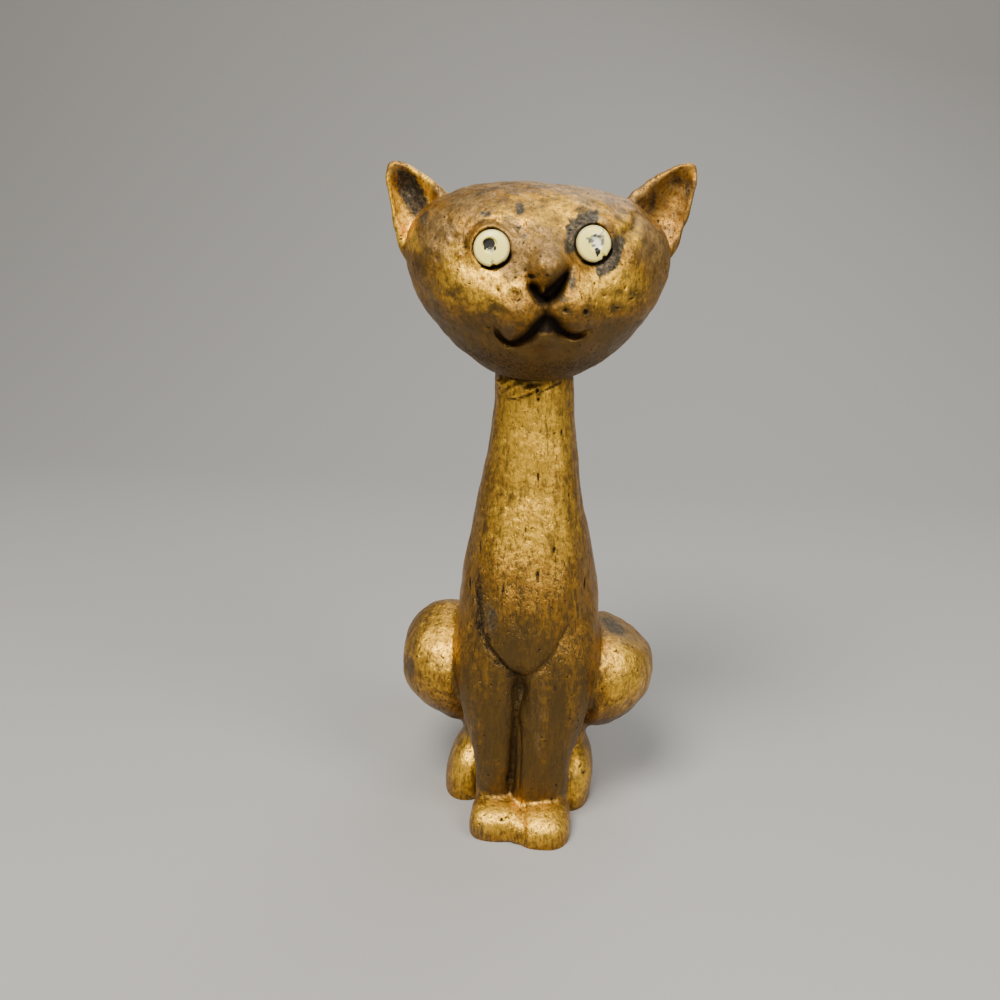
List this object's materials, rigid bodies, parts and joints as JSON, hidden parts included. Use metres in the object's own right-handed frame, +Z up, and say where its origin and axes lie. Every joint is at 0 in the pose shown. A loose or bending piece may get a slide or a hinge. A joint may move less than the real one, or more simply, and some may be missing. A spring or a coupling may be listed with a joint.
{
  "type": "cat figurine",
  "caption": "Seated long-necked cat in hollow cast brass with a wide head, pricked ears and inset enamelled disc eyes, standing on its own flat sole.",
  "frame": {"origin": "on the flat sole, on the axis of the neck", "axes": "+Z up along the neck, the cat looks along -Y, +X is the cat's left"},
  "size_m": [0.0897, 0.0928, 0.2014],
  "materials": {
    "brass": "worn golden brass with an umber patina, dark casting pits and vertical streaks",
    "enamel": "aged cream enamel, satin, chipped at the rim"
  },
  "bodies": {
    "root": {"body_casting": "brass", "head_casting": "brass", "eye_right": "enamel", "eye_left": "enamel"}
  },
  "joints": []
}
